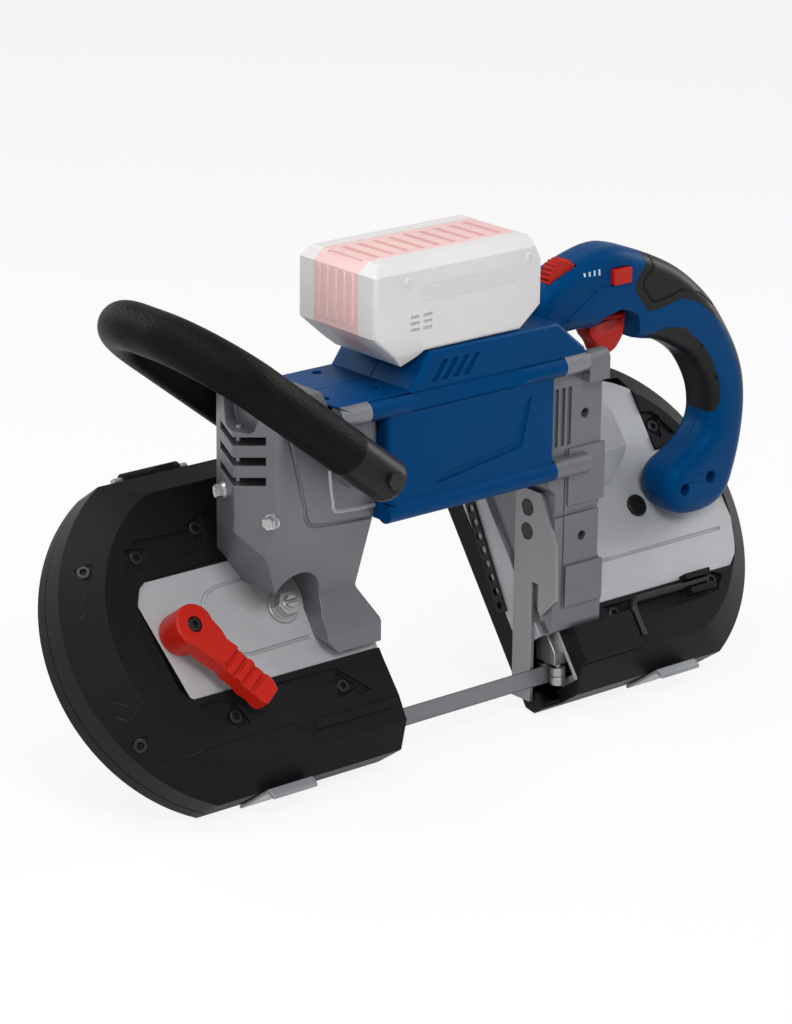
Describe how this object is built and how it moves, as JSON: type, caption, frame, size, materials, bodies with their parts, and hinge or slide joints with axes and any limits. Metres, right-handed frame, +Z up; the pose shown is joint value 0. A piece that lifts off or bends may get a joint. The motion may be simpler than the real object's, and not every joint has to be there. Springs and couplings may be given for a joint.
{
  "type": "portable band saw",
  "caption": "Hand-held cordless band saw: two leaning wheel housings joined by a motor body, with a twisted blade, work stop, rear grip, front bail and battery.",
  "frame": {"origin": "on the tooth edge of the blade, midway between the two wheel axles, in the plane of the cut", "axes": "+X along the saw towards the drive wheel, +Y across the saw away from the user, +Z up"},
  "size_m": [0.542, 0.1771, 0.3255],
  "materials": {
    "casting": "bead-blasted die casting",
    "bumper": "moulded matt black",
    "latch": "satin grey",
    "steel": "ground",
    "blade": "rolled strip",
    "wheel": "machined casting",
    "tyre": "matt",
    "dark_fastener": "black oxide",
    "housing": "moulded, fine texture",
    "grip": "soft-touch, fine texture",
    "dark_plastic": "moulded",
    "control": "moulded",
    "copper": "wound wire",
    "battery_shell": "moulded",
    "battery_accent": "moulded"
  },
  "bodies": {
    "frame": {"left_wheel_plate": "casting", "right_wheel_plate": "casting", "spine_channel": "casting", "left_bumper": "bumper", "right_bumper": "bumper", "cover_pins": "steel", "tracking_nut": "steel", "drive_bearing": "steel", "stator": "copper", "motor_bearings": "steel", "saw_blade": "blade", "left_guide_bracket": "steel", "right_guide_bracket": "steel", "stop_plate": "steel", "stop_screws": "dark_fastener", "left_column": "casting", "right_column": "casting", "gear_housing": "casting", "motor_housing_front": "housing", "motor_housing_back": "housing", "controller_module": "dark_plastic", "rear_handle_front": "housing", "rear_handle_back": "housing", "rear_grip_pad": "grip", "inner_grip_pad": "grip", "switch_module": "dark_plastic", "front_handle": "grip", "front_handle_caps": "dark_plastic", "front_handle_bolts": "dark_fastener"},
    "left_cover": {"left_rear_cover": "bumper"},
    "right_cover": {"right_rear_cover": "bumper"},
    "left_latch": {"left_cover_latch": "latch"},
    "right_latch": {"right_cover_latch": "latch"},
    "tension_slider": {"tension_block": "steel", "idler_axle": "steel"},
    "idler": {"idler_wheel": "wheel", "idler_tyre": "tyre", "idler_bearing": "steel"},
    "lever": {"tension_lever": "control", "tension_cam": "steel"},
    "drive": {"drive_wheel": "wheel", "drive_tyre": "tyre", "drive_axle": "steel", "drive_gear": "steel"},
    "layshaft_set": {"layshaft": "steel"},
    "motor": {"rotor": "steel", "motor_shaft": "steel", "motor_fan": "dark_plastic"},
    "left_front_roller": {"left_front_rollers": "steel"},
    "left_back_roller": {"left_back_rollers": "steel"},
    "right_front_roller": {"right_front_rollers": "steel"},
    "right_back_roller": {"right_back_rollers": "steel"},
    "trigger_piece": {"trigger": "control"},
    "lock_off": {"lock_off_button": "control"},
    "dial": {"speed_dial": "control"},
    "battery": {"battery_case": "battery_shell", "battery_band": "battery_accent", "battery_cells": "steel"},
    "battery_release": {"battery_button": "battery_accent"},
    "key": {"hex_key": "dark_fastener"}
  },
  "joints": [
    {"name": "drive_wheel_spin", "type": "hinge", "parent": "frame", "child": "drive", "pos_m": [0.15502, 0.04746, 0.07414], "axis": [0, -0.8192, 0.5736], "continuous": true},
    {"name": "tension_slide", "type": "slide", "parent": "frame", "child": "tension_slider", "axis": [1, 0, 0], "range_m": [0, 0.004]},
    {"name": "idler_wheel_spin", "type": "hinge", "parent": "tension_slider", "child": "idler", "pos_m": [-0.15502, 0.04746, 0.07414], "axis": [0, -0.8192, 0.5736], "continuous": true},
    {"name": "tension_lever_swing", "type": "hinge", "parent": "frame", "child": "lever", "pos_m": [-0.20302, 0.02453, 0.09019], "axis": [0, -0.8192, 0.5736], "range_deg": [-180, 0]},
    {"name": "layshaft_spin", "type": "hinge", "parent": "frame", "child": "layshaft_set", "pos_m": [0.09862, 0.05491, 0.1545], "axis": [0, -0.8192, 0.5736], "continuous": true},
    {"name": "motor_spin", "type": "hinge", "parent": "frame", "child": "motor", "pos_m": [0, 0.0185, 0.17999], "axis": [1, 0, 0], "continuous": true},
    {"name": "left_front_roller_spin", "type": "hinge", "parent": "frame", "child": "left_front_roller", "pos_m": [-0.078, -0.00555, 0.006], "axis": [0, 0, 1], "continuous": true},
    {"name": "left_back_roller_spin", "type": "hinge", "parent": "frame", "child": "left_back_roller", "pos_m": [-0.078, 0.00555, 0.006], "axis": [0, 0, 1], "continuous": true},
    {"name": "right_front_roller_spin", "type": "hinge", "parent": "frame", "child": "right_front_roller", "pos_m": [0.078, -0.00555, 0.006], "axis": [0, 0, 1], "continuous": true},
    {"name": "right_back_roller_spin", "type": "hinge", "parent": "frame", "child": "right_back_roller", "pos_m": [0.078, 0.00555, 0.006], "axis": [0, 0, 1], "continuous": true},
    {"name": "trigger_pull", "type": "slide", "parent": "frame", "child": "trigger_piece", "axis": [0, 0, 1], "range_m": [0, 0.0065], "stiffness_N_per_m": 900, "springref_m": -0.003},
    {"name": "lock_off_push", "type": "slide", "parent": "frame", "child": "lock_off", "axis": [0, 1, 0], "range_m": [-0.003, 0.003], "stiffness_N_per_m": 900},
    {"name": "speed_dial_turn", "type": "hinge", "parent": "frame", "child": "dial", "pos_m": [0.086, 0.0125, 0.2655], "axis": [0, 1, 0], "range_deg": [0, 240]},
    {"name": "battery_slide", "type": "slide", "parent": "frame", "child": "battery", "axis": [-1, 0, 0], "range_m": [0, 0.075]},
    {"name": "battery_release_press", "type": "slide", "parent": "battery", "child": "battery_release", "axis": [0.6529, 0, 0.7575], "range_m": [0, 0.002], "stiffness_N_per_m": 1500, "springref_m": -0.0005},
    {"name": "left_cover_swing", "type": "hinge", "parent": "frame", "child": "left_cover", "pos_m": [-0.15502, 0.11678, 0.15744], "axis": [1, 0, 0], "range_deg": [0, 95]},
    {"name": "right_cover_swing", "type": "hinge", "parent": "frame", "child": "right_cover", "pos_m": [0.15502, 0.11678, 0.15744], "axis": [1, 0, 0], "range_deg": [0, 95]},
    {"name": "left_latch_swing", "type": "hinge", "parent": "left_cover", "child": "left_latch", "pos_m": [-0.16, -0.00262, -0.01831], "axis": [1, 0, 0], "range_deg": [0, 60]},
    {"name": "right_latch_swing", "type": "hinge", "parent": "right_cover", "child": "right_latch", "pos_m": [0.16, -0.00262, -0.01831], "axis": [1, 0, 0], "range_deg": [0, 60]},
    {"name": "hex_key_lift", "type": "slide", "parent": "frame", "child": "key", "axis": [0, -0.8192, 0.5736], "range_m": [0, 0.03]}
  ],
  "couplings": [
    {"joint": "idler_wheel_spin", "follows": "drive_wheel_spin", "ratio": 1},
    {"joint": "layshaft_spin", "follows": "drive_wheel_spin", "ratio": -5.3636},
    {"joint": "motor_spin", "follows": "drive_wheel_spin", "ratio": 18.773},
    {"joint": "left_front_roller_spin", "follows": "drive_wheel_spin", "ratio": -16.5},
    {"joint": "left_back_roller_spin", "follows": "drive_wheel_spin", "ratio": 16.5},
    {"joint": "right_front_roller_spin", "follows": "drive_wheel_spin", "ratio": -16.5},
    {"joint": "right_back_roller_spin", "follows": "drive_wheel_spin", "ratio": 16.5},
    {"joint": "tension_lever_swing", "follows": "tension_slide", "rad_per_m": -785.4}
  ]
}
